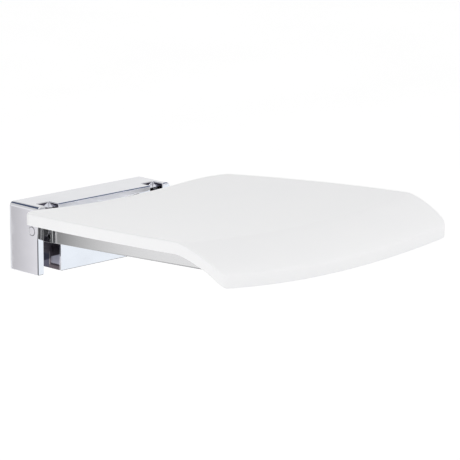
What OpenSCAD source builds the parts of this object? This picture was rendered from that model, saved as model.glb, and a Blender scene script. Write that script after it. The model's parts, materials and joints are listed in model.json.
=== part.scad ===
// Wall-hung folding shower seat: a cast hinge bracket, two folding arms and a dished seat with a rolled front.
// Frame: the wall is the plane y = 0, the seat reaches out along -Y and +Z is up.
// The origin is the middle of the bracket's wall face. "Reach" is a distance out from the wall.

/* [Wall bracket] */
// Width of the bracket along the wall
bracket_w = 218; // [214:1:226]
// Height of the bracket
bracket_h = 84; // [82:1:92]
// Reach of the bracket's front face
bracket_d = 52; // [51:1:56]
// Thickness of the end cheeks, and of the top over the arm channels
cheek_t = 9; // [8:0.5:9.5]
// Wall thickness of the central box
box_t = 3; // [2.5:0.5:3.5]
// Radius of the two rounded top end edges
end_round = 6; // [3:0.5:8]
// Distance from a bracket end to the side of the central box
box_inset = 36.5; // [36:0.5:38]
// Distance from a bracket end to the notch in its top
notch_inset = 13.4; // [13:0.2:14]
// Width of each notch in the top
notch_w = 20; // [19.6:0.2:21]
// Reach of each notch's back edge
notch_reach = 34; // [33:0.5:34]

/* [Wall fixing] */
// Thickness of the rubber gasket behind the wall plate
gasket_t = 1.5; // [1:0.5:2]
// Thickness of the steel wall plate
plate_t = 4; // [3:0.5:4]
// Distance between the wall screw holes along the wall
fixing_w = 96; // [80:2:104]
// Distance between the wall screw holes up the wall
fixing_h = 50; // [40:2:52]
// Diameter of the wall screw holes
fixing_d = 9; // [7:0.5:10]

/* [Hinge] */
// Reach of the hinge axis
pivot_reach = 41; // [40.5:0.5:42]
// Distance from the bracket's top down to the hinge axis
pivot_drop = 30.7; // [30:0.1:32]
// Diameter of the hinge pin's shank
pin_d = 10; // [8:0.5:10]
// Diameter of the hinge pin's head, flush in the cheek
pin_head_d = 11; // [11:0.5:14]
// Outer diameter of the plastic hinge bushes
bush_d = 13; // [12.5:0.5:14]

/* [Arms] */
// Width of an arm
arm_w = 18; // [17:0.5:18]
// Height of an arm above the line through the hinge axis
arm_up = 7.3; // [7:0.1:7.5]
// Depth of an arm below the line through the hinge axis
arm_down = 14.2; // [13:0.1:16]
// Wall thickness of an arm's tube
arm_wall = 2; // [1.5:0.5:2.5]
// Distance from a bracket end to the outer face of an arm
arm_inset = 14.4; // [14.2:0.1:14.6]
// Length of an arm from the hinge axis to its front end
arm_len = 348; // [340:1:354]
// Upward slope of the arms and of the seat, in degrees
tilt = 2.6; // [2:0.1:3.5]

/* [Seat] */
// Reach of the seat's straight rear edge
seat_rear = 74; // [73:0.5:77]
// Reach of the seat's front edge
seat_front = 446.8; // [435:0.2:460]
// Height of the seat's rear edge above the bracket's top, negative when it is lower
seat_rise = -1.2; // [-2:0.2:2]
// Forward sweep of the rear edge at the rear corners
rear_sweep = 24.5; // [18:0.5:32]
// Half width of the seat at its rear corners
rear_half = 165; // [152:1:175]
// Half width of the seat at its widest place
wide_half = 189.6; // [178:0.2:200]
// Half width of the seat at its front edge
front_half = 184.8; // [174:0.2:195]
// Radius of the front corners, seen from above
corner_r = 8; // [5:1:20]
// Rise of the dished seat from its middle to its rear corners
dish = 9.5; // [6:0.5:13]
// Reach at which the front begins to roll down
roll_reach = 379.7; // [368:0.1:388]
// Drop of the rolled front edge
roll_drop = 31.5; // [22:0.5:36]
// Thickness of the seat at its edge
seat_t = 14.3; // [13:0.1:16]
// Thickness of the seat's top skin
skin_t = 4; // [3:0.5:4]
// Thickness of the panel that closes the underside
pan_t = 3; // [2:0.5:3]

/* [Seat fixings] */
// Places of the seat screws along an arm, measured from the hinge axis
screw_places = [70, 190, 310];
// Diameter of the seat screws
screw_d = 6; // [5:1:6]
// Places of the two cross bars, measured from the hinge axis
bar_places = [104, 276];
// Outer diameter of the cross bars
bar_d = 16; // [12:1:18]

/* [Hidden] */
$fn = 48;
left = -1;
right = 1;
over = 1;                                   // how far a cutter runs past the face it cuts

half_w = bracket_w / 2;
half_h = bracket_h / 2;
cheek_in = half_w - cheek_t;                // inner face of a cheek
top_in = half_h - cheek_t;                  // underside of the top over the channels
box_out = half_w - box_inset;               // outer face of the central box's side
box_in = box_out - box_t;
plate_back = gasket_t;
plate_front = gasket_t + plate_t;
plate_gap = 0.5;                            // room round the wall plate inside the housing
pivot_z = half_h - pivot_drop;

running = 0.05;                             // radial clearance of the hinge fits
end_play = 0.1;
washer_t = 1;
washer_d = 19;
arm_out = half_w - arm_inset;               // outer face of an arm
arm_in = arm_out - arm_w;
arm_mid = arm_out - arm_w / 2;
lug_t = 8;
lug_out = box_in - 0.3;
lug_in = lug_out - lug_t;
lug_nose = 7.4;
lug_top = 14;
lug_bottom = 24;
clip_t = 1;
clip_gap = 0.1;
groove_r = pin_d / 2 - 0.3;
pin_tail = 1.2;                             // length of the pin past its clip
boss_r = 10.5;
tail_len = 27;
tail_down = 8;
block_len = 21;                             // length of the hinge block in front of the axis
spigot_len = 24;
spigot_gap = 0.1;
stop_pad_t = 2;
stop_gap = 0.05;
stop_len = 10;
stop_w = 16;
tab_x = 20;
tab_size = [16, 14, 11];
house_screw_d = 5;
house_head_d = 9;
pad_len = 34;
pad_gap = 0.05;
rail_w = 24;
rail_t = 4;
rail_gap = 0.4;
rail_start = 50;
rail_end = 326;
head_d = 10.5;
head_t = 4;
cap_t = 2;
cap_spigot = 12;
cap_fit = 0.1;
edge_cut = 1.5;                             // bevel round the seat's edges
rim_w = 6;                                  // width of the rim round the hollow underside
pan_gap = 0.3;
dish_power = 2;
sweep_power = 8;
roll_power = 1.34;

// ---- Placing ----

// Draws the child on its side, where it is modelled at +X
module on_side(side) {
    if (side == right) children();
    else mirror([1, 0, 0]) children();
}

// A profile of [reach, height] points, extruded from x_low to x_high
module across(x_low, x_high) {
    translate([x_high, 0, 0]) rotate([90, 0, -90]) linear_extrude(x_high - x_low) children();
}

// A straight round bar along X
module x_bar(x_low, x_high, r) {
    translate([x_low, 0, 0]) rotate([0, 90, 0]) cylinder(h = x_high - x_low, r = r);
}

// A block given by its ranges of x, reach and height
module block(x, reach, z) {
    translate([x[0], -reach[1], z[0]]) cube([x[1] - x[0], reach[1] - reach[0], z[1] - z[0]]);
}

module at_pivot() {
    translate([0, -pivot_reach, pivot_z]) children();
}

// The arms' own frame: its origin is on the hinge axis and the arm runs along -Y, sloping up
module arm_frame() {
    at_pivot() rotate([-tilt, 0, 0]) children();
}

// ---- Wall bracket ----

module fixing_holes(reach) {
    for (x = [-1, 1], z = [-1, 1])
        translate([x * fixing_w / 2, 0, z * fixing_h / 2 - 3])
            rotate([90, 0, 0]) cylinder(h = reach, r = fixing_d / 2);
}

module wall_gasket() {
    color("dimgray")
    difference() {
        block([-cheek_in + plate_gap, cheek_in - plate_gap], [0, gasket_t],
            [-half_h + box_t + plate_gap, top_in - plate_gap]);
        translate([0, over, 0]) fixing_holes(gasket_t + 2 * over);
    }
}

module wall_plate() {
    tab_low = -half_h + box_t + 0.2;
    color("lightsteelblue")
    difference() {
        union() {
            block([-cheek_in + plate_gap, cheek_in - plate_gap], [plate_back, plate_front],
                [-half_h + box_t + plate_gap, top_in - plate_gap]);
            for (side = [left, right])
                translate([side * tab_x - tab_size[0] / 2, -plate_front - tab_size[1], tab_low])
                    cube(tab_size + [0, over, 0]);
        }
        fixing_holes(plate_front + over);
        for (side = [left, right])
            translate([side * tab_x, -plate_front - tab_size[1] / 2, tab_low - over])
                cylinder(h = tab_size[2] + 2 * over, r = house_screw_d / 2 + running);
    }
}

// The steel ear that carries the inner end of a hinge pin
module pivot_lug(side) {
    color("lightsteelblue")
    on_side(side)
        difference() {
            across(lug_in, lug_out) {
                polygon([[plate_front, pivot_z - lug_bottom], [pivot_reach, pivot_z - lug_nose],
                    [pivot_reach, pivot_z + lug_nose], [plate_front, pivot_z + lug_top]]);
                translate([pivot_reach, pivot_z]) circle(lug_nose);
            }
            at_pivot() x_bar(lug_in - over, lug_out + over, pin_d / 2 + running);
        }
}

// The steel block over an arm's tail that holds the seat level
module stop_block(side) {
    back_of_pivot = pivot_reach - tail_len;
    color("slategray")
    on_side(side)
        difference() {
            block([arm_mid - stop_w / 2, arm_mid + stop_w / 2],
                [plate_front, back_of_pivot + stop_len], [pivot_z, top_in - plate_gap]);
            arm_frame()
                translate([0, -over, arm_up + stop_gap + stop_pad_t - bracket_h])
                    cube([bracket_w, bracket_d, bracket_h]);
        }
}

module stop_pad(side) {
    color("black")
    on_side(side)
        arm_frame()
            translate([arm_mid - stop_w / 2, tail_len - stop_len, arm_up + stop_gap])
                cube([stop_w, stop_len, stop_pad_t]);
}

// Front view of the bracket: a rectangle with rounded top corners
module housing_face() {
    translate([-half_w, -half_h]) square([bracket_w, bracket_h - end_round]);
    translate([end_round - half_w, -half_h]) square([bracket_w - 2 * end_round, bracket_h]);
    for (side = [left, right])
        translate([side * (half_w - end_round), half_h - end_round]) circle(end_round);
}

// The room in which an arm swings: a channel open below and in front, and the notch above it
module arm_channel() {
    block([box_out, cheek_in], [-over, bracket_d + over], [-half_h - over, top_in]);
    block([half_w - notch_inset - notch_w, half_w - notch_inset], [notch_reach, bracket_d + over],
        [0, half_h + over]);
}

module pin_bores() {
    at_pivot() {
        x_bar(cheek_in - over, half_w + over, pin_head_d / 2 + running);
        x_bar(box_in - over, box_out + over, pin_d / 2 + running);
    }
}

module housing_screw_shape(x, grow) {
    head_h = (house_head_d - house_screw_d) / 2;
    translate([x, -plate_front - tab_size[1] / 2, -half_h]) {
        cylinder(h = head_h, r1 = house_head_d / 2 + grow, r2 = house_screw_d / 2 + grow);
        cylinder(h = tab_size[2] + 1, r = house_screw_d / 2 + grow);
    }
}

module bracket_housing() {
    color("silver")
    difference() {
        rotate([90, 0, 0]) linear_extrude(bracket_d) housing_face();
        block([-cheek_in, cheek_in], [-over, plate_front + plate_gap], [-half_h + box_t, top_in]);
        block([-box_in, box_in], [-over, bracket_d - box_t], [-half_h + box_t, half_h - box_t]);
        for (side = [left, right])
            on_side(side) {
                arm_channel();
                pin_bores();
                translate([0, 0, -0.01]) housing_screw_shape(tab_x, running);
            }
    }
}

module housing_screws() {
    socket_d = 3;
    color("gainsboro")
    for (side = [left, right])
        on_side(side)
            difference() {
                housing_screw_shape(tab_x, 0);
                translate([tab_x, -plate_front - tab_size[1] / 2, -half_h - over])
                    cylinder(h = 1.5 + over, r = socket_d / 2, $fn = 6);
            }
}

// ---- Hinge ----

module pivot_pin(side) {
    shank_end = lug_in - clip_gap - clip_t - pin_tail;
    color("whitesmoke")
    on_side(side)
        at_pivot()
            difference() {
                union() {
                    x_bar(cheek_in, half_w, pin_head_d / 2);
                    x_bar(shank_end, cheek_in, pin_d / 2);
                }
                difference() {
                    x_bar(lug_in - clip_gap - clip_t, lug_in - clip_gap, pin_d);
                    x_bar(lug_in - clip_gap - clip_t - over, lug_in, groove_r);
                }
            }
}

module pin_clip(side) {
    ring_r = pin_d / 2 + 2.6;
    mouth = 4;
    color("dimgray")
    on_side(side)
        at_pivot()
            difference() {
                x_bar(lug_in - clip_gap - clip_t, lug_in - clip_gap, ring_r);
                x_bar(lug_in - clip_gap - clip_t - over, lug_in, groove_r);
                translate([lug_in - 2 * clip_t, -mouth / 2, -ring_r - over])
                    cube([3 * clip_t, mouth, ring_r + over]);
            }
}

module ring_across(x_low, x_high, r_out, r_in) {
    at_pivot()
        difference() {
            x_bar(x_low, x_high, r_out);
            x_bar(x_low - over, x_high + over, r_in);
        }
}

module thrust_washers(side) {
    bore_r = pin_d / 2 + 2 * running;
    outer = cheek_in - end_play;
    inner = box_out + end_play;
    color("gainsboro")
    on_side(side) {
        ring_across(outer - washer_t, outer, washer_d / 2, bore_r);
        ring_across(inner, inner + washer_t, washer_d / 2, bore_r);
    }
}

// The two flanged bushes of one arm, pressed in from either side
module hinge_bushes(side) {
    outer_face = cheek_in - 2 * end_play - washer_t;
    inner_face = box_out + 2 * end_play + washer_t;
    sleeve = 8;
    bore_r = pin_d / 2 + running;
    color("dimgray")
    on_side(side) {
        ring_across(arm_out, outer_face, washer_d / 2, bore_r);
        ring_across(arm_out - sleeve, arm_out, bush_d / 2, bore_r);
        ring_across(inner_face, arm_in, washer_d / 2, bore_r);
        ring_across(arm_in, arm_in + sleeve, bush_d / 2, bore_r);
    }
}

// Side view of the hinge block, drawn from the hinge axis with the arm towards +X
module hinge_block_face() {
    circle(boss_r);
    translate([0, -arm_down]) square([block_len, arm_down + arm_up]);
    translate([-tail_len, -tail_down]) square([tail_len, tail_down + arm_up]);
}

module hinge_block(side) {
    spigot_x = arm_in + arm_wall + spigot_gap;
    color("darkgray")
    on_side(side)
        arm_frame()
            difference() {
                union() {
                    across(arm_in, arm_out) hinge_block_face();
                    block([spigot_x, arm_out - arm_wall - spigot_gap],
                        [block_len - over, block_len + spigot_len],
                        [-arm_down + arm_wall + spigot_gap, arm_up - arm_wall - spigot_gap]);
                }
                x_bar(arm_in - over, arm_out + over, bush_d / 2);
            }
}

// ---- Arms ----

module arm(side) {
    access_d = head_d + 2;
    color("darkgray")
    on_side(side)
        arm_frame()
            difference() {
                block([arm_in, arm_out], [block_len, arm_len], [-arm_down, arm_up]);
                block([arm_in + arm_wall, arm_out - arm_wall], [block_len - over, arm_len + over],
                    [arm_wall - arm_down, arm_up - arm_wall]);
                for (place = screw_places) {
                    translate([arm_mid, -place, 0])
                        cylinder(h = arm_up + over, r = screw_d / 2 + 2 * running);
                    translate([arm_mid, -place, -arm_down - over])
                        cylinder(h = arm_wall + 2 * over, r = access_d / 2);
                }
            }
}

module arm_cap(side) {
    inset = arm_wall + cap_fit;
    color("dimgray")
    on_side(side)
        arm_frame() {
            block([arm_in, arm_out], [arm_len, arm_len + cap_t], [-arm_down, arm_up]);
            block([arm_in + inset, arm_out - inset], [arm_len - cap_spigot, arm_len + cap_t / 2],
                [inset - arm_down, arm_up - inset]);
        }
}

module cross_bar(place) {
    bar_wall = 1.5;
    mid_height = (arm_up - arm_down) / 2;
    color("darkgray")
    arm_frame()
        translate([0, -place, mid_height])
            difference() {
                x_bar(-arm_in, arm_in, bar_d / 2);
                x_bar(-arm_in - over, arm_in + over, bar_d / 2 - bar_wall);
            }
}

// ---- Seat surface ----
// v runs from 0 at the rear edge to 1 at the front edge, t from -1 to 1 across the seat.

side_rear = seat_rear + rear_sweep;
side_len = seat_front - side_rear;
roll_v = (roll_reach - side_rear) / side_len;

function limit(value) = max(0, min(1, value));
function side_reach(v) = side_rear + side_len * v;
function corner_inset(reach) =
    corner_r * (1 - sqrt(1 - pow(limit((reach - seat_front + corner_r) / corner_r), 2)));
function half_width(reach) =
    rear_half + (wide_half - rear_half) * (1 - pow(1 - limit((reach - side_rear) / (roll_reach - side_rear)), 2))
    - (wide_half - front_half) * pow(limit((reach - roll_reach) / (seat_front - roll_reach)), 1.5)
    - corner_inset(reach);
function seat_x(v, t) = t * half_width(side_reach(v));
function seat_reach(v, t) = side_reach(v) - (1 - v) * rear_sweep * (1 - pow(abs(t), sweep_power));
function dish_height(x) = dish * pow(abs(x) / rear_half, dish_power);
function rolled(reach) =
    1 - pow(1 - pow(limit((reach - roll_reach) / (seat_front - roll_reach)), roll_power), 1 / roll_power);
function seat_height(x, reach) = half_h + seat_rise + tan(tilt) * (reach - seat_rear)
    + dish_height(x) - roll_drop * rolled(reach);
// The point of the seat's top at (v, t), lowered by drop
function seat_point(v, t, drop) =
    [seat_x(v, t), -seat_reach(v, t), seat_height(seat_x(v, t), seat_reach(v, t)) - drop];

// Two triangles for each cell of a grid; the cells face up, or down when flipped
function cell(a, b, c, d, flip) = flip ? [[a, c, b], [a, d, c]] : [[a, b, c], [a, c, d]];

flat_rows = 12;
roll_rows = 12;
cols = 24;
edge_v = edge_cut / side_len;
edge_t = 1 - edge_cut / wide_half;
rim_v = rim_w / side_len;
rim_t = 1 - rim_w / rear_half;

// ---- Seat ----

// A closed plate between two grids of points with the same rows and columns
module grid_plate(v_list, t_list, top_drop, bottom_drop) {
    rows = len(v_list);
    width = len(t_list);
    count = rows * width;
    top = [for (v = v_list, t = t_list) seat_point(v, t, top_drop)];
    bottom = [for (v = v_list, t = t_list) seat_point(v, t, bottom_drop)];
    faces = [
        for (i = [0:rows - 2], j = [0:width - 2], low = [0, 1])
            let (a = low * count + i * width + j)
                each cell(a, a + 1, a + width + 1, a + width, low == 1),
        for (j = [0:width - 2])
            each cell(j, j + 1, j + 1 + count, j + count, true),
        for (j = [count - width:count - 2])
            each cell(j, j + 1, j + 1 + count, j + count, false),
        for (i = [0:rows - 2])
            let (a = i * width)
                each cell(a, a + width, a + width + count, a + count, false),
        for (i = [0:rows - 2])
            let (a = (i + 1) * width - 1)
                each cell(a, a + width, a + width + count, a + count, true),
    ];
    polyhedron(points = concat(top, bottom), faces = faces, convexity = 6);
}

// The panel that closes the hollow underside, inside the rim
module seat_underpan() {
    pan_v = (rim_w + pan_gap) / side_len;
    front_v = roll_v - pan_gap / side_len;
    pan_half = rim_t - pan_gap / rear_half;
    v_list = [for (i = [0:flat_rows]) pan_v + (front_v - pan_v) * i / flat_rows];
    t_list = [for (j = [0:cols]) pan_half * (2 * j / cols - 1)];
    hole_r = screw_d / 2 + 2 * running;
    color("gainsboro")
    difference() {
        grid_plate(v_list, t_list, seat_t - pan_t, seat_t);
        for (side = [left, right])
            on_side(side)
                arm_frame()
                    for (place = screw_places)
                        translate([arm_mid, -place, arm_up])
                            cylinder(h = 2 * seat_t, r = hole_r);
    }
}

// The moulded seat: a skin with a deep rim, solid where the front rolls down
module seat_shell() {
    v_list = concat([0, edge_v],
        [for (i = [0:flat_rows]) rim_v + (roll_v - rim_v) * i / flat_rows],
        [for (i = [1:roll_rows]) roll_v + (1 - roll_v) * sin(90 * i / roll_rows)]);
    t_list = concat([-1, -edge_t], [for (j = [0:cols]) rim_t * (2 * j / cols - 1)], [edge_t, 1]);
    rows = len(v_list);
    width = len(t_list);
    count = rows * width;
    first = 2;                              // the hollow's first row and first column
    last_row = first + flat_rows;
    last_col = first + cols;
    function at_edge(i, j) = i == 0 || j == 0 || i == rows - 1 || j == width - 1;
    function hollow(i, j) = i >= first && i < last_row && j >= first && j < last_col;
    function layer(drop, cut) = [for (i = [0:rows - 1], j = [0:width - 1])
        seat_point(v_list[i], t_list[j], drop + (at_edge(i, j) ? cut : 0))];
    function wall(a, b, upper, lower, flip) =
        cell(upper + a, upper + b, lower + b, lower + a, flip);
    faces = [
        for (i = [0:rows - 2], j = [0:width - 2])
            let (a = i * width + j)
                each concat(cell(a, a + 1, a + width + 1, a + width, false),
                    let (b = a + (hollow(i, j) ? 2 : 1) * count)
                        cell(b, b + 1, b + width + 1, b + width, true)),
        for (j = [0:width - 2])
            each concat(wall(j, j + 1, 0, count, true),
                let (a = count - width + j) wall(a, a + 1, 0, count, false)),
        for (i = [0:rows - 2])
            let (a = i * width)
                each concat(wall(a, a + width, 0, count, false),
                    wall(a + width - 1, a + 2 * width - 1, 0, count, true)),
        for (j = [first:last_col - 1])
            each concat(
                let (a = first * width + j) wall(a, a + 1, 2 * count, count, false),
                let (a = last_row * width + j) wall(a, a + 1, 2 * count, count, true)),
        for (i = [first:last_row - 1])
            each concat(
                let (a = i * width + first) wall(a, a + width, 2 * count, count, true),
                let (a = i * width + last_col) wall(a, a + width, 2 * count, count, false)),
    ];
    color("white")
    polyhedron(points = concat(layer(0, edge_cut), layer(seat_t, -edge_cut), layer(skin_t, 0)),
        faces = faces, convexity = 8);
}

// ---- Seat fixings ----

// The seat's slope across an arm, and the height of its underside over the arm, in the arms' frame
cross_slope = atan(2 * dish * arm_mid / pow(rear_half, 2));
underside = cos(tilt) * (half_h + seat_rise + dish_height(arm_mid) - seat_t
    - tan(tilt) * (seat_rear - pivot_reach) - pivot_z);

// The sloping plane under the seat: everything above it and below the given height over the underside
module over_underside(height) {
    reach = arm_len + cap_t;
    translate([arm_mid, 0, underside + height]) rotate([0, -cross_slope, 0])
        translate([-arm_w, -reach, 0]) cube([2 * arm_w, reach, 2 * seat_t]);
}

module seat_pads(side) {
    color("gray")
    on_side(side)
        arm_frame()
            for (place = screw_places)
                difference() {
                    block([arm_in, arm_out], [place - pad_len / 2, place + pad_len / 2],
                        [arm_up, underside + seat_t]);
                    over_underside(-pad_gap);
                    translate([arm_mid, -place, arm_up - over])
                        cylinder(h = 2 * seat_t, r = screw_d / 2 + 2 * running);
                }
}

// The flat steel bar inside the hollow seat that the seat screws thread into
module seat_rail(side) {
    color("lightsteelblue")
    on_side(side)
        arm_frame()
            difference() {
                translate([arm_mid, 0, underside + pan_t + rail_gap]) rotate([0, -cross_slope, 0])
                    block([-rail_w / 2, rail_w / 2], [rail_start, rail_end], [0, rail_t]);
                for (place = screw_places)
                    translate([arm_mid, -place, arm_up])
                        cylinder(h = 2 * seat_t, r = screw_d / 2 + running);
            }
}

module seat_screws(side) {
    top = underside + pan_t + rail_gap + rail_t + 1;
    seat_of_head = arm_up - arm_wall;
    socket_d = 4.6;
    color("gainsboro")
    on_side(side)
        arm_frame()
            for (place = screw_places)
                translate([arm_mid, -place, 0])
                    difference() {
                        union() {
                            translate([0, 0, seat_of_head]) cylinder(h = top - seat_of_head, r = screw_d / 2);
                            translate([0, 0, seat_of_head - head_t]) cylinder(h = head_t, r = head_d / 2);
                        }
                        translate([0, 0, seat_of_head - head_t - over])
                            cylinder(h = 2 + over, r = socket_d / 2, $fn = 6);
                    }
}

wall_gasket();
wall_plate();
pivot_lug(left);  // pivot_lug_left
pivot_lug(right);  // pivot_lug_right
stop_block(left);  // stop_block_left
stop_block(right);  // stop_block_right
stop_pad(left);  // stop_pad_left
stop_pad(right);  // stop_pad_right
bracket_housing();
housing_screws();
pivot_pin(left);  // pivot_pin_left
pivot_pin(right);  // pivot_pin_right
pin_clip(left);  // pin_clip_left
pin_clip(right);  // pin_clip_right
thrust_washers(left);  // thrust_washers_left
thrust_washers(right);  // thrust_washers_right
hinge_bushes(left);  // hinge_bushes_left
hinge_bushes(right);  // hinge_bushes_right
hinge_block(left);  // hinge_block_left
hinge_block(right);  // hinge_block_right
arm(left);  // arm_left
arm(right);  // arm_right
arm_cap(left);  // arm_cap_left
arm_cap(right);  // arm_cap_right
cross_bar(bar_places[0]);  // cross_bar_rear
cross_bar(bar_places[1]);  // cross_bar_front
seat_pads(left);  // seat_pads_left
seat_pads(right);  // seat_pads_right
seat_screws(left);  // seat_screws_left
seat_screws(right);  // seat_screws_right
seat_rail(left);  // seat_rail_left
seat_rail(right);  // seat_rail_right
seat_underpan();
seat_shell();
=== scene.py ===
import json
import math

import bpy
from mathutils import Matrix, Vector


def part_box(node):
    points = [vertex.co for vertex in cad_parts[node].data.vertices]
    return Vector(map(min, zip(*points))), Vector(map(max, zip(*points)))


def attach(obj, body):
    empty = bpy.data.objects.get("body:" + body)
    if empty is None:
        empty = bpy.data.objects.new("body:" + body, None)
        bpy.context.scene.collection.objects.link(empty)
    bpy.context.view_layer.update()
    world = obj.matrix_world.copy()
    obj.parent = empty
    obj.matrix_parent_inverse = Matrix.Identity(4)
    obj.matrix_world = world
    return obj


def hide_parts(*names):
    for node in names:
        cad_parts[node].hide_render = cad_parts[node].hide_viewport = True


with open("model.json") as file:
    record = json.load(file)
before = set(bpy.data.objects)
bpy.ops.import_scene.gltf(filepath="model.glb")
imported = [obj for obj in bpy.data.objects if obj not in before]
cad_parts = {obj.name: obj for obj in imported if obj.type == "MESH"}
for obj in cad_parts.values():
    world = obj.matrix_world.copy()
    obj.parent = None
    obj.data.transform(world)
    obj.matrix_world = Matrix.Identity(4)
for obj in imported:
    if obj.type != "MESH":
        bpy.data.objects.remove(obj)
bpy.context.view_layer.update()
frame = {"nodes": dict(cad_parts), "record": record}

NODES = frame["nodes"]
SLOT_OF = {part["node"]: part["material_slot"] for part in frame["record"]["subparts"]}
MM = 0.001

# ---- Camera: at the photograph's viewing angle, aimed at the middle of the bracket and seat ----

AZIMUTH, ELEVATION = math.radians(-44.25), math.radians(12.76)
AIM = Vector((-0.0109, -0.2821, 0.0365))
DISTANCE = 3.5
SENSOR_WIDTH, LENS = 36, 234.8    # in mm
FAR_CLIP = 60

back = Vector((math.sin(AZIMUTH) * math.cos(ELEVATION), -math.cos(AZIMUTH) * math.cos(ELEVATION),
               math.sin(ELEVATION)))
camera = bpy.data.objects.new("camera", bpy.data.cameras.new("camera"))
camera.data.sensor_width = SENSOR_WIDTH
camera.data.lens = LENS
camera.data.clip_end = FAR_CLIP
camera.location = AIM + back * DISTANCE
camera.rotation_euler = (-back).to_track_quat("-Z", "Y").to_euler()
bpy.context.scene.collection.objects.link(camera)
bpy.context.scene.camera = camera
bpy.context.scene.view_settings.view_transform = "Standard"


# ---- Node trees ----

class Nodes:
    """A material's node tree, with short calls for the nodes used here. Positions are the row frame's,
    in metres."""

    def __init__(self, name):
        self.material = bpy.data.materials.new(name)
        self.material.use_nodes = True
        self.tree = self.material.node_tree
        self.shader = self.tree.nodes["Principled BSDF"]
        self.place = self.tree.nodes.new("ShaderNodeTexCoord").outputs["Object"]

    def link(self, output, socket):
        self.tree.links.new(output, socket)

    def stretched(self, scale):
        node = self.tree.nodes.new("ShaderNodeMapping")
        node.inputs["Scale"].default_value = scale
        self.link(self.place, node.inputs["Vector"])
        return node.outputs["Vector"]

    def noise(self, scale, detail=2.0, stretch=None, rough=0.5):
        node = self.tree.nodes.new("ShaderNodeTexNoise")
        node.inputs["Scale"].default_value = scale
        node.inputs["Detail"].default_value = detail
        node.inputs["Roughness"].default_value = rough
        self.link(self.stretched(stretch) if stretch else self.place, node.inputs["Vector"])
        return node.outputs["Fac"]

    def ramp(self, value, low, high, to_low, to_high):
        node = self.tree.nodes.new("ShaderNodeMapRange")
        for name, number in (("From Min", low), ("From Max", high), ("To Min", to_low), ("To Max", to_high)):
            node.inputs[name].default_value = number
        self.link(value, node.inputs["Value"])
        return node.outputs["Result"]

    def rise(self, value, low, high):
        """0 up to low, 1 from high."""
        return self.ramp(value, low, high, 0.0, 1.0)

    def fall(self, value, low, high):
        """1 up to low, 0 from high."""
        return self.ramp(value, low, high, 1.0, 0.0)

    def band(self, value, start, full, last, end):
        """1 from full to last, 0 up to start and again from end."""
        return self.times(self.rise(value, start, full), self.fall(value, last, end))

    def math(self, kind, a, b):
        node = self.tree.nodes.new("ShaderNodeMath")
        node.operation = kind
        for socket, value in zip(node.inputs, (a, b)):
            if isinstance(value, (int, float)):
                socket.default_value = value
            else:
                self.link(value, socket)
        return node.outputs["Value"]

    def plus(self, a, b):
        return self.math("ADD", a, b)

    def minus(self, a, b):
        return self.math("SUBTRACT", a, b)

    def times(self, product, *others):
        for other in others:
            product = self.math("MULTIPLY", product, other)
        return product

    def blend(self, factor, a, b):
        node = self.tree.nodes.new("ShaderNodeMix")
        node.data_type = "RGBA"
        self.link(factor, node.inputs["Factor"])
        for socket, colour in ((node.inputs[6], a), (node.inputs[7], b)):
            if isinstance(colour, tuple):
                socket.default_value = (*colour, 1)
            else:
                self.link(colour, socket)
        return node.outputs[2]

    def axis(self, index):
        node = self.tree.nodes.new("ShaderNodeSeparateXYZ")
        self.link(self.place, node.inputs["Vector"])
        return node.outputs[index]

    def bump(self, height, strength, distance, under=None):
        node = self.tree.nodes.new("ShaderNodeBump")
        node.inputs["Strength"].default_value = strength
        node.inputs["Distance"].default_value = distance
        self.link(height, node.inputs["Height"])
        if under is not None:
            self.link(under, node.inputs["Normal"])
        return node.outputs["Normal"]


# ---- Measures of the bracket and arms that the materials follow ----

TILT = math.tan(math.radians(2.6))    # upward slope of the arms and of the seat
ARM_LOW, ARM_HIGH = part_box("arm_left")
BRACKET_LOW, BRACKET_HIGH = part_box("bracket_housing")
PIN_LOW, PIN_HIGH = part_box("pivot_pin_left")
BRACKET_FRONT = -BRACKET_LOW.y        # distance of the front faces from the wall
CHANNEL_IN = 72.5 * MM                # side of the central box
CHANNEL_OUT = 100.0 * MM              # inner face of an end cheek
NOTCH_IN, NOTCH_OUT = 75.6 * MM, 95.6 * MM
NOTCH_BACK, NOTCH_DEEP = 34.0 * MM, 9.0 * MM
CHANNEL_TOP = BRACKET_HIGH.z - NOTCH_DEEP
PIN_R = 5.5 * MM

# ---- Tones of the metal ----
# Those of the channels, notches and edges stand in for reflections of surroundings that aren't modelled.

PLATE, PLATE_SMUDGED = (0.80, 0.805, 0.84), (0.76, 0.765, 0.80)
JOINT_LINE = (0.42, 0.42, 0.44)
# Painted shade and painted reflections in the channels: dark steps, a thin painted highlight on an edge and a
# light patch low down
CHANNEL_PAINTED_SHADE = (0.30, 0.29, 0.31)
PATCH_PAINTED_REFLECTION = (0.50, 0.50, 0.59)
CHANNEL_STEPS = [   # tone, then the range of reach and of height that it covers, in mm
    ((0.17, 0.15, 0.17), (0.0, 31.0), (-24.0, -6.0)),
    ((0.11, 0.09, 0.105), (31.0, 52.0), (-42.0, -6.0)),
    ((0.10, 0.10, 0.14), (0.0, 30.4), (-42.0, -24.0)),
    ((0.42, 0.39, 0.39), (30.4, 31.4), (-42.0, -21.0)),
    (PATCH_PAINTED_REFLECTION, (34.5, 54.0), (-34.6, -20.5)),
    ((0.05, 0.045, 0.055), (33.0, 50.0), (-37.0, -34.6)),
    ((0.15, 0.13, 0.145), (30.4, 52.0), (-46.0, -37.0)),
]
STEP_FADE, TOP_FADE, PATCH_FADE = 0.3, 0.5, 2.6     # half the width of a step's edges, in mm
PATCH_FRONT, PATCH_SLANT = 54.0 * MM, 0.32          # start and slope of the patch's slanting top edge
NOTCH_SHADE = (0.27, 0.26, 0.30)
NOTCH_SIDE_SLOPE, NOTCH_BACK_SLOPE = 0.65, 0.8      # slopes of the shade's edge, away from the bright corner
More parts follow.
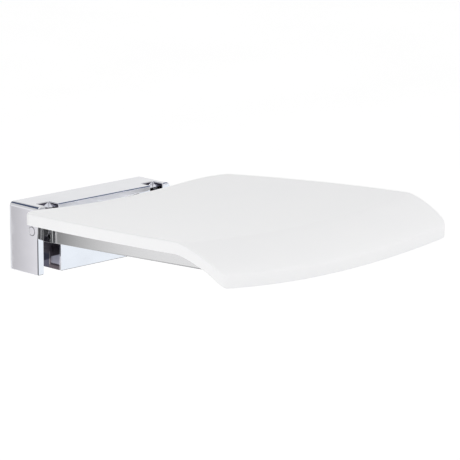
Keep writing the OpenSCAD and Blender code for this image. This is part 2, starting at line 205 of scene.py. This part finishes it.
# Painted reflections on the bracket's edges: a dark blue line along the upper front edge, a dark one on the
# upright edges
EDGE_BLUE_REFLECTION, EDGE_DARK_REFLECTION = (0.08, 0.13, 0.27), (0.10, 0.10, 0.12)
EDGE_START, EDGE_FULL = -1.0 * MM, -0.85 * MM       # where the edges' tones begin on the rounding
UPRIGHT_FADE = (30.0 * MM, 42.0 * MM)               # depth below the top where the upright edges' tone grows
PLAIN_EXTRA, FROSTED_EXTRA = 0.07, 0.5              # added roughness in a channel, outside and in the patch
SOFT = 0.4 * MM                                     # half the width of the shades' own edges
# Painted shade on the arms' undersides and their lower edges
ARM_EDGE_SHADE, ARM_EDGE_MOST = (0.26, 0.26, 0.27), 0.9
ARM_EDGE_BAND = (0.9 * MM, 1.6 * MM)                # height above the arm's underside where its tone ends
ARM_EDGE_REACH = (0.06, 0.30)                       # distance along the arm over which that tone grows
NOISE_RANGE = (0.3, 0.7)                            # most of a noise lies in here


def steel(name, colour, dark, rough, grain, stretch, strength, arm=False):
    """A metal with a directional grain in its roughness, colour and surface. On an arm, a painted shade on
    the underside and its edges grows towards the front end."""
    n = Nodes(name)
    n.shader.inputs["Metallic"].default_value = 1.0
    streaks = n.noise(grain, 3.0, stretch, 0.6)
    clouds = n.noise(45.0, 3.0)
    tone = n.blend(n.rise(streaks, *NOISE_RANGE), dark, colour)
    if arm:
        # Painted shade on the underside and its edges, growing along the arm
        along = n.plus(n.times(n.axis(1), -1.0), ARM_HIGH.y)
        above = n.minus(n.minus(n.axis(2), ARM_LOW.z), n.times(along, TILT))
        amount = n.times(n.fall(above, *ARM_EDGE_BAND), n.ramp(along, *ARM_EDGE_REACH, 0.0, ARM_EDGE_MOST))
        tone = n.blend(amount, tone, ARM_EDGE_SHADE)
    n.link(tone, n.shader.inputs["Base Color"])
    n.link(n.plus(n.ramp(streaks, *NOISE_RANGE, rough[1], rough[0]), n.ramp(clouds, 0.35, 0.65, -0.02, 0.03)),
           n.shader.inputs["Roughness"])
    n.link(n.bump(streaks, strength, 0.02 * MM), n.shader.inputs["Normal"])
    return n.material


def plastic(name, colour, shade, rough, texture, strength, gloss=0.5):
    """A moulded plastic: a fine skin texture, slight flow marks and a slow change of tone."""
    n = Nodes(name)
    n.shader.inputs["IOR"].default_value = 1.49
    n.shader.inputs["Specular IOR Level"].default_value = gloss
    slow = n.noise(9.0, 2.0)
    skin = n.noise(texture, 2.0)
    n.link(n.blend(n.rise(slow, *NOISE_RANGE), shade, colour), n.shader.inputs["Base Color"])
    n.link(n.plus(n.ramp(skin, *NOISE_RANGE, rough[0], rough[1]), n.ramp(slow, *NOISE_RANGE, -0.02, 0.02)),
           n.shader.inputs["Roughness"])
    waves = n.bump(n.noise(22.0, 1.0), 0.08, 0.15 * MM)
    n.link(n.bump(skin, strength, 0.04 * MM, waves), n.shader.inputs["Normal"])
    return n.material


def rubber(name, colour, dusty):
    """A matt rubber with a fine grit and patches of dust."""
    n = Nodes(name)
    n.shader.inputs["Specular IOR Level"].default_value = 0.3
    grit = n.noise(1400.0, 3.0)
    dust = n.noise(120.0, 4.0)
    n.link(n.blend(n.ramp(dust, 0.55, 0.75, 0.0, 0.5), colour, dusty), n.shader.inputs["Base Color"])
    n.link(n.ramp(dust, *NOISE_RANGE, 0.6, 0.85), n.shader.inputs["Roughness"])
    n.link(n.bump(grit, 0.25, 0.08 * MM), n.shader.inputs["Normal"])
    return n.material


def channel_painted_light(n, reach, z):
    """The plate's painted shade and painted reflections inside a channel, step by step, and how much of it is
    the frosted patch that lies low down near the front, whose lighter tone is a painted reflection."""
    colour, frosted = CHANNEL_PAINTED_SHADE, None
    from_front = n.minus(PATCH_FRONT, reach)
    for tone, (near, far), (low, high) in CHANNEL_STEPS:
        fade = PATCH_FADE if tone == PATCH_PAINTED_REFLECTION else STEP_FADE
        top = n.plus(z, n.times(from_front, PATCH_SLANT)) if tone == PATCH_PAINTED_REFLECTION else z
        part = n.times(n.band(reach, (near - fade) * MM, (near + fade) * MM,
                              (far - STEP_FADE) * MM, (far + STEP_FADE) * MM),
                       n.rise(z, (low - STEP_FADE) * MM, (low + STEP_FADE) * MM),
                       n.fall(top, (high - TOP_FADE) * MM, (high + TOP_FADE) * MM))
        colour = n.blend(part, colour, tone)
        frosted = part if tone == PATCH_PAINTED_REFLECTION else frosted
    return colour, frosted


def housing_painted_light(n, colour, rough, x, reach, z):
    """Painted shade and painted reflections on the bracket, in its channels and notches and along some of its
    edges.
    """
    across = n.math("ABSOLUTE", x, 0.0)
    below = n.minus(BRACKET_HIGH.z, z)
    # Channels: the box's sides and the back, away from the front faces and below the notches, get painted
    # shade, painted reflections and a rougher plate
    inside = n.band(across, CHANNEL_IN - 1.3 * MM, CHANNEL_IN - 0.9 * MM,
                    CHANNEL_OUT - 1.1 * MM, CHANNEL_OUT - 0.7 * MM)
    behind_front = n.fall(reach, BRACKET_FRONT - 4.0 * MM, BRACKET_FRONT - 1.0 * MM)
    under_top = n.fall(z, CHANNEL_TOP - SOFT, CHANNEL_TOP + SOFT)
    dull_and_painted_light = n.times(inside, behind_front, under_top)
    channel_colour, frosted = channel_painted_light(n, reach, z)
    colour = n.blend(dull_and_painted_light, colour, channel_colour)
    rough = n.plus(rough, n.times(dull_and_painted_light, n.ramp(frosted, 0.0, 1.0, PLAIN_EXTRA, FROSTED_EXTRA)))
    # Each notch: bright where its back wall meets its right-hand wall, shaded away from that corner
    right_side = n.math("GREATER_THAN", x, 0.0)
    from_wall = n.minus(n.ramp(right_side, 0.0, 1.0, -NOTCH_IN, NOTCH_OUT), x)
    from_back = n.minus(reach, NOTCH_BACK)
    lit = n.minus(below, n.plus(n.times(from_wall, NOTCH_SIDE_SLOPE), n.times(from_back, NOTCH_BACK_SLOPE)))
    in_notch = n.times(n.band(across, NOTCH_IN - 0.5 * MM, NOTCH_IN - 0.1 * MM,
                              NOTCH_OUT + 0.1 * MM, NOTCH_OUT + 0.5 * MM),
                       n.rise(from_back, -0.5 * MM, -0.1 * MM), n.rise(below, 0.7 * MM, 1.0 * MM))
    shade = n.times(in_notch, n.fall(lit, -SOFT, SOFT), n.rise(z, CHANNEL_TOP - SOFT, CHANNEL_TOP + SOFT))
    colour = n.blend(shade, colour, NOTCH_SHADE)
    # The rounded upper front edge, on the box and on the right-hand cheek, gets a painted dark blue
    # reflection
    past_edge = n.minus(n.plus(reach, z), BRACKET_FRONT + BRACKET_HIGH.z)
    on_box = n.fall(across, NOTCH_IN - 0.8 * MM, NOTCH_IN - 0.4 * MM)
    on_right_cheek = n.rise(x, NOTCH_OUT + 1.0 * MM, NOTCH_OUT + 2.0 * MM)
    front_edge = n.times(n.rise(past_edge, EDGE_START, EDGE_FULL), n.math("MAXIMUM", on_box, on_right_cheek))
    colour = n.blend(front_edge, colour, EDGE_BLUE_REFLECTION)
    # A painted dark reflection on the lower part of the cheeks' upright front edges
    past_corner = n.minus(n.plus(reach, across), BRACKET_FRONT + BRACKET_HIGH.x)
    upright_edge = n.times(n.rise(past_corner, EDGE_START, EDGE_FULL), n.rise(below, *UPRIGHT_FADE))
    return n.blend(upright_edge, colour, EDGE_DARK_REFLECTION), rough


def chrome(name, housing=False):
    """Bright plate: near-mirror, with a faint orange peel and wiped smudges, and a fine dark joint line round
    the pins' ends. The housing has painted shade and painted reflections besides."""
    n = Nodes(name)
    n.shader.inputs["Metallic"].default_value = 1.0
    smudge = n.noise(26.0, 4.0, (1.0, 1.0, 2.2))
    fine = n.noise(420.0, 2.0)
    colour = n.blend(n.rise(smudge, 0.35, 0.7), PLATE, PLATE_SMUDGED)
    rough = n.ramp(smudge, 0.45, 0.75, 0.035, 0.085)
    x, y, z = n.axis(0), n.axis(1), n.axis(2)
    pin_y = n.math("POWER", n.minus(y, (PIN_LOW.y + PIN_HIGH.y) / 2), 2.0)
    pin_z = n.math("POWER", n.minus(z, (PIN_LOW.z + PIN_HIGH.z) / 2), 2.0)
    from_axis = n.math("SQRT", n.plus(pin_y, pin_z), 0.0)
    joint_line = n.band(from_axis, PIN_R - 1.0 * MM, PIN_R - 0.6 * MM, PIN_R - 0.1 * MM, PIN_R + 0.3 * MM)
    colour = n.blend(joint_line, colour, JOINT_LINE)
    if housing:
        colour, rough = housing_painted_light(n, colour, rough, x, n.times(y, -1.0), z)
    n.link(colour, n.shader.inputs["Base Color"])
    n.link(rough, n.shader.inputs["Roughness"])
    orange_peel = n.bump(n.noise(60.0, 1.0), 0.03, 0.05 * MM)
    n.link(n.bump(fine, 0.02, 0.02 * MM, orange_peel), n.shader.inputs["Normal"])
    return n.material


MATERIALS = {
    "chrome": chrome("chrome"),
    "arm_metal": steel("arm_metal", (0.76, 0.76, 0.77), (0.72, 0.72, 0.73), (0.06, 0.10), 60.0,
                       (28, 1.0, 28), 0.08, True),
    "plain_steel": steel("plain_steel", (0.52, 0.53, 0.55), (0.40, 0.41, 0.43), (0.3, 0.45), 50.0,
                         (1.0, 18, 18), 0.3),
    "fastener_steel": steel("fastener_steel", (0.62, 0.62, 0.64), (0.5, 0.5, 0.52), (0.2, 0.32), 900.0,
                            (1, 1, 1), 0.12),
    "rubber": rubber("rubber", (0.022, 0.022, 0.022), (0.12, 0.12, 0.12)),
    "bush_plastic": plastic("bush_plastic", (0.045, 0.045, 0.05), (0.035, 0.035, 0.04), (0.38, 0.5),
                            1200.0, 0.15),
    "grey_plastic": plastic("grey_plastic", (0.16, 0.165, 0.175), (0.13, 0.135, 0.145), (0.42, 0.55),
                            1100.0, 0.3),
    "pan_plastic": plastic("pan_plastic", (0.80, 0.80, 0.81), (0.77, 0.77, 0.78), (0.42, 0.56), 1100.0, 0.3),
    "seat_plastic": plastic("seat_plastic", (0.90, 0.90, 0.905), (0.885, 0.885, 0.895), (0.30, 0.38),
                            1500.0, 0.10, gloss=0.3),
}
HOUSING = chrome("chrome_housing", housing=True)


def dress(obj, material):
    """Shows obj in this material, in its object's own slots."""
    if not obj.material_slots:
        obj.data.materials.append(None)
    for slot in obj.material_slots:
        slot.link = "OBJECT"
        slot.material = material


# ---- CAD nodes: materials and fine rounded edges, with the edges' radii in mm ----

EDGE = {"bracket_housing": 1.0, "wall_plate": 0.4, "arm_left": 0.8, "arm_right": 0.8, "hinge_block_left": 0.6,
        "hinge_block_right": 0.6, "pivot_pin_left": 0.35, "pivot_pin_right": 0.35, "arm_cap_left": 0.6,
        "arm_cap_right": 0.6, "seat_pads_left": 0.8, "seat_pads_right": 0.8, "pivot_lug_left": 0.5,
        "pivot_lug_right": 0.5, "wall_gasket": 0.3}
SMALL_EDGE = 0.2
UNCLAMPED = {"bracket_housing", "arm_left", "arm_right"}   # their short facets would hold the rounding back
WELD_DISTANCE, FLAT_ANGLE = 0.005 * MM, math.radians(0.3)
EDGE_ANGLE, EDGE_SEGMENTS, FACE_WEIGHT = math.radians(38), 3, 60

for name, node in NODES.items():
    dress(node, HOUSING if name == "bracket_housing" else MATERIALS[SLOT_OF[name]])
    weld = node.modifiers.new("weld", "WELD")
    weld.merge_threshold = WELD_DISTANCE
    flat = node.modifiers.new("flat", "DECIMATE")
    flat.decimate_type = "DISSOLVE"
    flat.angle_limit = FLAT_ANGLE
    bevel = node.modifiers.new("edges", "BEVEL")
    bevel.width = EDGE.get(name, SMALL_EDGE) * MM
    bevel.segments = EDGE_SEGMENTS
    bevel.limit_method = "ANGLE"
    bevel.angle_limit = EDGE_ANGLE
    bevel.miter_outer = "MITER_ARC"
    bevel.use_clamp_overlap = name not in UNCLAMPED
    weighted = node.modifiers.new("shading", "WEIGHTED_NORMAL")
    weighted.weight = FACE_WEIGHT
    weighted.keep_sharp = False
    for face in node.data.polygons:
        face.use_smooth = True


# ---- Seat surface, as in the CAD design, in metres ----
# v runs from 0 at the rear edge to 1 at the front edge, t from -1 to 1 across the seat. Reach is the distance
# from the wall.

SEAT_LOW, SEAT_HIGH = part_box("seat_shell")
SEAT_REAR, SEAT_FRONT = -SEAT_HIGH.y, -SEAT_LOW.y
WIDE_HALF = SEAT_HIGH.x
REAR_HEIGHT = BRACKET_HIGH.z - 1.2 * MM
REAR_SWEEP, REAR_HALF, FRONT_HALF, CORNER_R = 24.5 * MM, 165 * MM, 184.8 * MM, 8 * MM
DISH, ROLL_REACH, ROLL_DROP, SEAT_T = 9.5 * MM, 379.7 * MM, 31.5 * MM, 14.3 * MM
SWEEP_POWER, ROLL_POWER, SIDE_POWER, FRONT_POWER, DISH_POWER = 8, 1.34, 2, 1.5, 2
SIDE_REAR = SEAT_REAR + REAR_SWEEP
SIDE_LEN = SEAT_FRONT - SIDE_REAR
ROLL_V = (ROLL_REACH - SIDE_REAR) / SIDE_LEN
RIM, SKIN, PAN_T, PAN_GAP = 6 * MM, 4 * MM, 3 * MM, 0.3 * MM


def limit(value):
    """The value, held between 0 and 1."""
    return max(0.0, min(1.0, value))


def half_width(reach):
    """Half the seat's width at this distance from the wall."""
    along_side = limit((reach - SIDE_REAR) / (ROLL_REACH - SIDE_REAR))
    along_roll = limit((reach - ROLL_REACH) / (SEAT_FRONT - ROLL_REACH))
    corner = limit((reach - SEAT_FRONT + CORNER_R) / CORNER_R)
    return (REAR_HALF
            + (WIDE_HALF - REAR_HALF) * (1 - (1 - along_side) ** SIDE_POWER)
            - (WIDE_HALF - FRONT_HALF) * along_roll ** FRONT_POWER
            - CORNER_R * (1 - math.sqrt(1 - corner ** 2)))


def plan(v, t):
    """The place (x, reach) of a point of the seat, seen from above."""
    side = SIDE_REAR + SIDE_LEN * v
    return Vector((t * half_width(side), side - (1 - v) * REAR_SWEEP * (1 - abs(t) ** SWEEP_POWER)))


def height(x, reach):
    """The height of the seat's top: it slopes up towards the front, curves up to the sides and rolls down
    at the front edge."""
    along_roll = limit((reach - ROLL_REACH) / (SEAT_FRONT - ROLL_REACH))
    rolled = 1 - (1 - along_roll ** ROLL_POWER) ** (1 / ROLL_POWER)
    dished = (abs(x) / REAR_HALF) ** DISH_POWER
    return REAR_HEIGHT + TILT * (reach - SEAT_REAR) + DISH * dished - ROLL_DROP * rolled


def ring_of(last_row, last_col):
    """The places (row, column) round the border of a grid, in order."""
    return ([(0, j) for j in range(last_col)] + [(i, last_col) for i in range(last_row)]
            + [(last_row, j) for j in range(last_col, 0, -1)] + [(i, 0) for i in range(last_row, 0, -1)])


class Sheet:
    """A grid of plan points over part of the seat, whose border can be drawn in by a true distance."""

    def __init__(self, v_list, t_list):
        self.v, self.t = v_list, t_list
        self.rows, self.cols = len(v_list), len(t_list)
        self.base = [[plan(v, t) for t in t_list] for v in v_list]
        last_row, last_col = self.rows - 1, self.cols - 1
        self.border = ring_of(last_row, last_col)
        self.inward = {}
        for k, (i, j) in enumerate(self.border):
            before, after = self.border[k - 1], self.border[(k + 1) % len(self.border)]
            here = self.base[i][j]
            one = (here - self.base[before[0]][before[1]]).normalized()
            two = (self.base[after[0]][after[1]] - here).normalized()
            along = (one + two).normalized()
            self.inward[(i, j)] = Vector((-along.y, along.x))

    def border_point(self, i, j, inset):
        return self.base[i][j] + self.inward[(i, j)] * inset

    def point(self, i, j, inset):
        """The grid's point when the border is drawn in by inset. The points inside follow it smoothly."""
        if (i, j) in self.inward:
            return self.border_point(i, j, inset)
        last_row, last_col = self.rows - 1, self.cols - 1
        v = (self.v[i] - self.v[0]) / (self.v[-1] - self.v[0])
        s = (self.t[j] - self.t[0]) / (self.t[-1] - self.t[0])
        near = self.inward
        move = ((1 - s) * near[(i, 0)] + s * near[(i, last_col)]
                + (1 - v) * near[(0, j)] + v * near[(last_row, j)]
                - (1 - s) * (1 - v) * near[(0, 0)] - s * (1 - v) * near[(0, last_col)]
                - (1 - s) * v * near[(last_row, 0)] - s * v * near[(last_row, last_col)])
        return self.base[i][j] + move * inset


class Solid:
    """Collects the points and faces of one mesh."""

    def __init__(self):
        self.points, self.faces = [], []

    def add(self, place, drop):
        x, reach = place
        self.points.append((x, -reach, height(x, reach) - drop))
        return len(self.points) - 1

    def grid(self, index, keep, up):
        """Faces over the cells of a grid that keep(row, column) lets through."""
        rows, cols = len(index), len(index[0])
        for i in range(rows - 1):
            for j in range(cols - 1):
                if keep(i, j):
                    face = (index[i][j], index[i][j + 1], index[i + 1][j + 1], index[i + 1][j])
                    self.faces.append(face if not up else face[::-1])

    def band(self, upper, lower, out):
        """Joins two closed loops of points."""
        for k in range(len(upper)):
            m = (k + 1) % len(upper)
            face = (upper[k], upper[m], lower[m], lower[k])
            self.faces.append(face if out else face[::-1])

    def piece(self, name, sharp):
        """The mesh as an object, smooth but for edges sharper than this many degrees."""
        mesh = bpy.data.meshes.new(name)
        mesh.from_pydata(self.points, [], self.faces)
        mesh.validate()
        mesh.shade_smooth()
        mesh.set_sharp_from_angle(angle=math.radians(sharp))
        obj = bpy.data.objects.new(name, mesh)
        bpy.context.scene.collection.objects.link(obj)
        return obj


def spread(low, high, count):
    """Evenly spaced numbers from low to high, in count steps."""
    return [low + (high - low) * k / count for k in range(count + 1)]


# ---- The moulded seat ----

TOP_ROUND, LOW_ROUND, ROUND_STEPS = 2.0 * MM, 0.7 * MM, 6
FLAT_ROWS, ROLL_ROWS, COLS, SEAT_SHARP = 60, 40, 92, 35

rim_v, rim_t = RIM / SIDE_LEN, 1 - RIM / REAR_HALF
rows = ([0.0] + spread(rim_v, ROLL_V, FLAT_ROWS)
        + [ROLL_V + (1 - ROLL_V) * math.sin(math.pi / 2 * k / ROLL_ROWS) for k in range(1, ROLL_ROWS + 1)])
cols = [-1.0] + spread(-rim_t, rim_t, COLS) + [1.0]
sheet = Sheet(rows, cols)
solid = Solid()


def every(i, j):
    """Keeps each cell of a grid."""
    return True


def round_hollow(i, j):
    """Keeps the cells that lie round the hollow."""
    return not (1 <= i <= FLAT_ROWS and 1 <= j <= COLS)


top = [[solid.add(sheet.point(i, j, TOP_ROUND), 0.0) for j in range(sheet.cols)] for i in range(sheet.rows)]
solid.grid(top, every, False)
loop = [top[i][j] for i, j in sheet.border]
for k in range(1, ROUND_STEPS + 1):
    turn = math.pi / 2 * k / ROUND_STEPS
    inset, drop = TOP_ROUND * (1 - math.sin(turn)), TOP_ROUND * (1 - math.cos(turn))
    ring = [solid.add(sheet.border_point(i, j, inset), drop) for i, j in sheet.border]
    solid.band(ring, loop, True)
    loop = ring
for k in range(0, ROUND_STEPS):
    turn = math.pi / 2 * k / ROUND_STEPS
    inset, drop = LOW_ROUND * (1 - math.cos(turn)), SEAT_T - LOW_ROUND * (1 - math.sin(turn))
    ring = [solid.add(sheet.border_point(i, j, inset), drop) for i, j in sheet.border]
    solid.band(ring, loop, True)
    loop = ring
bottom = [[solid.add(sheet.point(i, j, LOW_ROUND), SEAT_T) for j in range(sheet.cols)]
          for i in range(sheet.rows)]
solid.band([bottom[i][j] for i, j in sheet.border], loop, True)
solid.grid(bottom, round_hollow, True)
inner = [[solid.add(sheet.point(i, j, LOW_ROUND), SKIN) for j in range(1, COLS + 2)]
         for i in range(1, FLAT_ROWS + 2)]
solid.grid(inner, every, True)
hollow_edge = ring_of(FLAT_ROWS, COLS)
solid.band([inner[i][j] for i, j in hollow_edge], [bottom[i + 1][j + 1] for i, j in hollow_edge], True)
# Drop the points that no face uses
used = sorted({p for face in solid.faces for p in face})
renumber = {old: new for new, old in enumerate(used)}
solid.points = [solid.points[p] for p in used]
solid.faces = [tuple(renumber[p] for p in face) for face in solid.faces]

seat = solid.piece("moulded_seat", SEAT_SHARP)
dress(seat, MATERIALS["seat_plastic"])
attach(seat, "seat")
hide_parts("seat_shell")

# ---- The panel that closes the underside: shallow pockets between ribs, flat bands where the arms run ----

POCKET_DEPTH, POCKET_WALL = 1.3 * MM, 1.1 * MM
POCKET_ROWS, RIB, PAN_END = 7, 7 * MM, 10 * MM
ROW_GAP, COL_GAP, PAN_SHARP, HAIR = 0.03, 0.04, 25, 1e-9
POCKET_COLS = [(-0.925, -0.64), (-0.36, -0.13), (-0.09, 0.09), (0.13, 0.36), (0.64, 0.925)]    # ranges of t

pan_v = (RIM + PAN_GAP) / SIDE_LEN
front_v = ROLL_V - PAN_GAP / SIDE_LEN
pan_half = rim_t - PAN_GAP / REAR_HALF
wall_v, wall_t, rib_v = POCKET_WALL / SIDE_LEN, POCKET_WALL / WIDE_HALF, RIB / SIDE_LEN
first_v, last_v = pan_v + PAN_END / SIDE_LEN, front_v - PAN_END / SIDE_LEN
pitch = (last_v - first_v + rib_v) / POCKET_ROWS
pocket_rows = [(first_v + pitch * k, first_v + pitch * (k + 1) - rib_v) for k in range(POCKET_ROWS)]


def grid_lines(start, end, pockets, wall, gap):
    """Grid lines from start to end, with one on each side of every pocket's sloping walls, and none further
    apart than gap."""
    marks = sorted({start, end, *[m for low, high in pockets for m in (low, low + wall, high - wall, high)]})
    found = [marks[0]]
    for mark in marks[1:]:
        steps = max(1, math.ceil((mark - found[-1]) / gap))
        found += spread(found[-1], mark, steps)[1:]
    return found


def deep(value, pockets, wall):
    """Whether value lies on the floor of a pocket, within its walls."""
    return any(low + wall - HAIR <= value <= high - wall + HAIR for low, high in pockets)


pan_sheet = Sheet(grid_lines(pan_v, front_v, pocket_rows, wall_v, ROW_GAP),
                  grid_lines(-pan_half, pan_half, POCKET_COLS, wall_t, COL_GAP))
pan_solid = Solid()
upper = [[pan_solid.add(p, SEAT_T - PAN_T) for p in line] for line in pan_sheet.base]
lower = []
for i, v in enumerate(pan_sheet.v):
    line = []
    for j, t in enumerate(pan_sheet.t):
        pocket = deep(v, pocket_rows, wall_v) and deep(t, POCKET_COLS, wall_t)
        line.append(pan_solid.add(pan_sheet.base[i][j], SEAT_T - (POCKET_DEPTH if pocket else 0.0)))
    lower.append(line)
pan_solid.grid(upper, every, False)
pan_solid.grid(lower, every, True)
pan_solid.band([upper[i][j] for i, j in pan_sheet.border][::-1],
               [lower[i][j] for i, j in pan_sheet.border][::-1], True)
pan = pan_solid.piece("underside_panel", PAN_SHARP)
dress(pan, MATERIALS["pan_plastic"])
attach(pan, "seat")
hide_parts("seat_underpan")

# ---- Studio: white floor, pale surround that is dimmer overhead, soft boxes and hidden cards ----

FLOOR, FLOOR_HALF, FLOOR_GLOW = -0.45, 30, 0.385
WHITE = (1, 1, 1)


def emitter(name, strength, colour=WHITE, graded=None):
    """An even glow, or one graded along the card's first axis. graded holds the strength at the start, the
    one at the end, and a power: above 1, the change is faster at first."""
    material = bpy.data.materials.new(name)
    material.use_nodes = True
    tree = material.node_tree
    tree.nodes.clear()
    glow = tree.nodes.new("ShaderNodeEmission")
    glow.inputs["Color"].default_value = (*colour, 1)
    glow.inputs["Strength"].default_value = strength
    out = tree.nodes.new("ShaderNodeOutputMaterial")
    tree.links.new(glow.outputs[0], out.inputs[0])
    if graded:
        at_start, at_end, power = graded
        place = tree.nodes.new("ShaderNodeTexCoord")
        split = tree.nodes.new("ShaderNodeSeparateXYZ")
        left_over = tree.nodes.new("ShaderNodeMath")
        left_over.operation = "SUBTRACT"
        left_over.inputs[0].default_value = 1.0
        bent = tree.nodes.new("ShaderNodeMath")
        bent.operation = "POWER"
        bent.inputs[1].default_value = power
        spread_out = tree.nodes.new("ShaderNodeMapRange")
        spread_out.inputs["To Min"].default_value = at_end
        spread_out.inputs["To Max"].default_value = at_start
        tree.links.new(place.outputs["UV"], split.inputs[0])
        tree.links.new(split.outputs[0], left_over.inputs[1])
        tree.links.new(left_over.outputs[0], bent.inputs[0])
        tree.links.new(bent.outputs[0], spread_out.inputs["Value"])
        tree.links.new(spread_out.outputs[0], glow.inputs["Strength"])
    return material


def card(corners, material, diffuse_only=False):
    """A flat card with the given corners and its material's name. Only reflections show it, or, if it is
    diffuse_only, only the light that it throws on the surfaces."""
    mesh = bpy.data.meshes.new(material.name)
    mesh.from_pydata(corners, [], [(0, 1, 2, 3)])
    uv = mesh.uv_layers.new(name="UVMap")
    for loop_index, place in enumerate(((0, 0), (1, 0), (1, 1), (0, 1))):
        uv.data[loop_index].uv = place
    mesh.materials.append(material)
    obj = bpy.data.objects.new(material.name, mesh)
    bpy.context.scene.collection.objects.link(obj)
    for kind in ("camera", "transmission", "volume_scatter", "shadow"):
        setattr(obj, "visible_" + kind, False)
    obj.visible_diffuse, obj.visible_glossy = diffuse_only, not diffuse_only


def level_card(x_range, y_range, z, material, diffuse_only=False):
    """A card that lies level at the height z."""
    (left, right), (start, end) = x_range, y_range
    card([(left, start, z), (right, start, z), (right, end, z), (left, end, z)], material, diffuse_only)


def upright_card(start, end, z_range, material):
    """A card that stands between two places (x, y)."""
    low, high = z_range
    card([(*start, low), (*end, low), (*end, high), (*start, high)], material)


def area_light(name, place, target, size, power):
    light = bpy.data.lights.new(name, "AREA")
    light.shape = "RECTANGLE"
    light.size, light.size_y = size
    light.energy = power
    obj = bpy.data.objects.new(name, light)
    obj.location = place
    obj.rotation_euler = (Vector(target) - Vector(place)).to_track_quat("-Z", "Y").to_euler()
    bpy.context.scene.collection.objects.link(obj)
    return obj


mesh = bpy.data.meshes.new("floor")
mesh.from_pydata([(-FLOOR_HALF, -FLOOR_HALF, FLOOR), (FLOOR_HALF, -FLOOR_HALF, FLOOR),
                  (FLOOR_HALF, FLOOR_HALF, FLOOR), (-FLOOR_HALF, FLOOR_HALF, FLOOR)], [], [(0, 1, 2, 3)])
floor = bpy.data.objects.new("floor", mesh)
bpy.context.scene.collection.objects.link(floor)
floor_nodes = Nodes("floor")
floor_nodes.shader.inputs["Roughness"].default_value = 0.9
floor_nodes.shader.inputs["Emission Strength"].default_value = FLOOR_GLOW
floor_nodes.shader.inputs["Emission Color"].default_value = (*WHITE, 1)
floor_nodes.link(floor_nodes.blend(floor_nodes.noise(3.0, 3.0), (0.78, 0.78, 0.78), (0.82, 0.82, 0.82)),
                 floor_nodes.shader.inputs["Base Color"])
dress(floor, floor_nodes.material)

world = bpy.data.worlds.new("studio")
world.use_nodes = True
bpy.context.scene.world = world
sky = world.node_tree
direction = sky.nodes.new("ShaderNodeTexCoord")
upward = sky.nodes.new("ShaderNodeSeparateXYZ")
sky_ramp = sky.nodes.new("ShaderNodeValToRGB")
sky.links.new(direction.outputs["Generated"], upward.inputs[0])
sky.links.new(upward.outputs[2], sky_ramp.inputs[0])
sky.links.new(sky_ramp.outputs[0], sky.nodes["Background"].inputs["Color"])
low_sky, high_sky = sky_ramp.color_ramp.elements
low_sky.position, low_sky.color = 0.10, (1.04, 1.04, 1.035, 1)
high_sky.position, high_sky.color = 0.36, (0.73, 0.73, 0.73, 1)
sky.nodes["Background"].inputs["Strength"].default_value = 1.0

# Place, target, width and length in metres, power in watts
area_light("soft_box_front", (0.4, -2.3, 2.2), (0, -0.3, 0), (2.4, 1.6), 4.8)
area_light("soft_box_top", (0.05, -0.78, 1.3), (0.05, -0.35, 0), (1.0, 0.7), 1.9)
area_light("soft_box_left", (-2.6, -1.2, 1.6), (0, -0.25, 0), (1.6, 1.2), 7)
area_light("soft_box_back", (0.2, 1.6, 0.95), (0, -0.08, 0.03), (1.6, 0.6), 1.5).visible_glossy = False

# Dim blue card overhead, behind the set: it draws the thin dark line along the bracket's rounded end edge
level_card((-3.6, 3.6), (2.2, 3.6), 3.0, emitter("ceiling_card", 0.16, (0.45, 0.6, 1.0)))
# Small glow below the gap between the bracket and the seat, for the seat's rear edge
level_card((-0.07, 0.09), (-0.054, -0.072), -0.06, emitter("gap_card", 30.0), diffuse_only=True)
# Grey flag low under the seat's front, which lights it less than the floor does, so its lower edge stands out
level_card((-0.26, 0.26), (-0.62, -0.40), -0.10, emitter("front_flag", 0.76), diffuse_only=True)
# Bright cool card low in front and to the right, for the bracket's front faces
level_card((0.3, 1.7), (-1.7, -0.5), -0.32, emitter("front_card", 1.12, (0.92, 0.965, 1.0)))
# Low dark card near the bracket, for its upright edges and the hinge end of the near arm
upright_card((-0.2505, -0.1842), (-0.159, -0.263), (-0.13, -0.026), emitter("low_card", 0.12))
# Dark card just above the floor to the right, for the bracket's lower front edge
level_card((0.1, 1.0), (-0.4, 0.6), -0.44, emitter("under_card", 0.08, (0.6, 0.8, 1.0)))
# Graded card beside the bracket, for the outer side of the near arm
upright_card((-0.1545, 0.0), (-0.4, 0.0), (-0.3, 0.06), emitter("arm_card", 1.0, graded=(0.3, 0.97, 3.0)))
# Graded card behind and to the left, for the near cheek
upright_card((-0.36, 0.3), (-0.47, 0.3), (-0.35, 0.05),
             emitter("cheek_card", 1.0, (1.0, 0.98, 1.0), graded=(0.61, 1.27, 1.0)))

bpy.context.view_layer.update()
